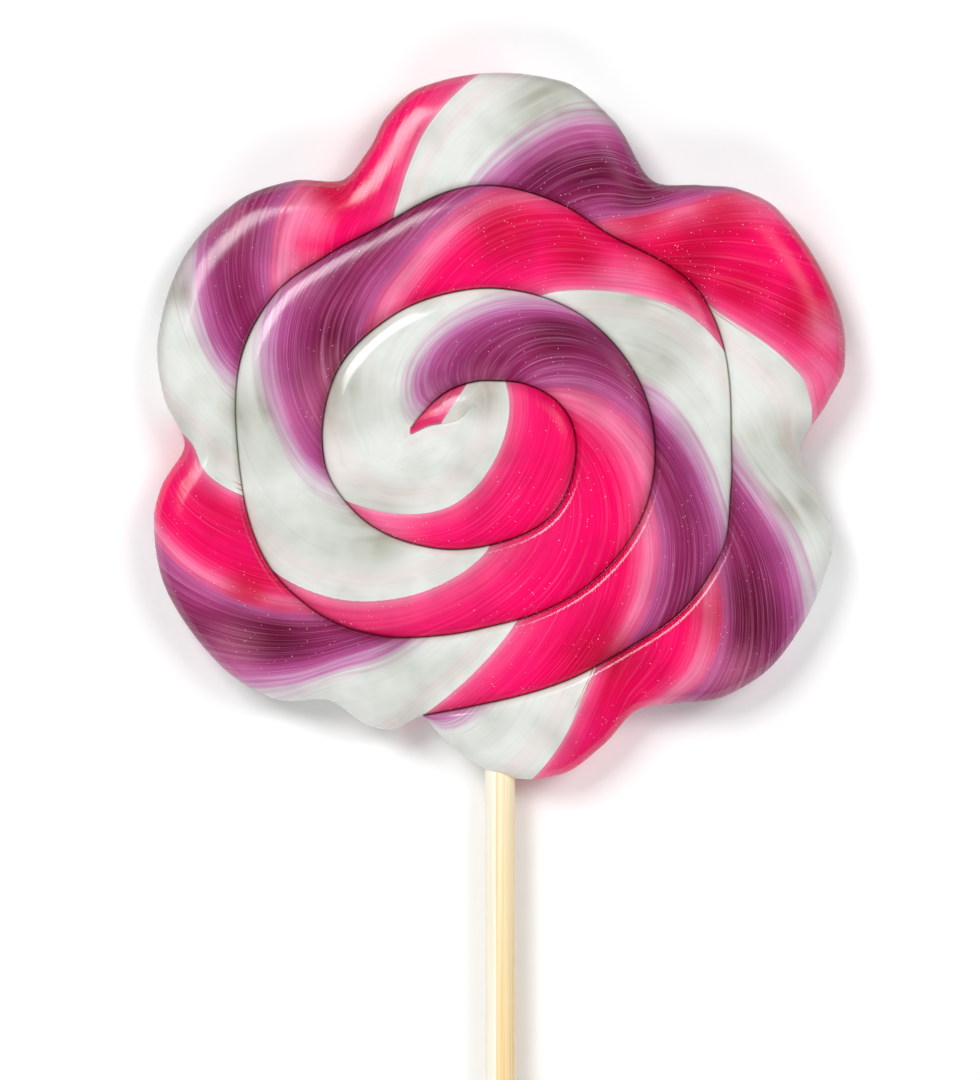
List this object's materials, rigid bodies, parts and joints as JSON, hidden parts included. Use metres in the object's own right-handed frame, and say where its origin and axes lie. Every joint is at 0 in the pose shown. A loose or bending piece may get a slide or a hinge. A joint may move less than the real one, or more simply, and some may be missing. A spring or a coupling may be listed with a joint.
{
  "type": "lollipop",
  "caption": "Flower-shaped swirl lollipop: a twisted boiled-sugar rope coiled flat with a petalled edge, set on a round bamboo stick, lying on its back",
  "frame": {"origin": "the middle of the swirl's flat back, which is the face the lollipop rests on", "axes": "+Z is out of the shown side, up as it lies; +Y runs from the stick to the head; +X is to the right as the picture shows it"},
  "size_m": [0.0909, 0.1963, 0.0094],
  "materials": {
    "boiled_sugar": "glossy translucent hard candy",
    "bamboo": "bare fine-grained bamboo"
  },
  "bodies": {
    "root": {"candy_swirl": "boiled_sugar", "bamboo_stick": "bamboo"}
  },
  "joints": []
}
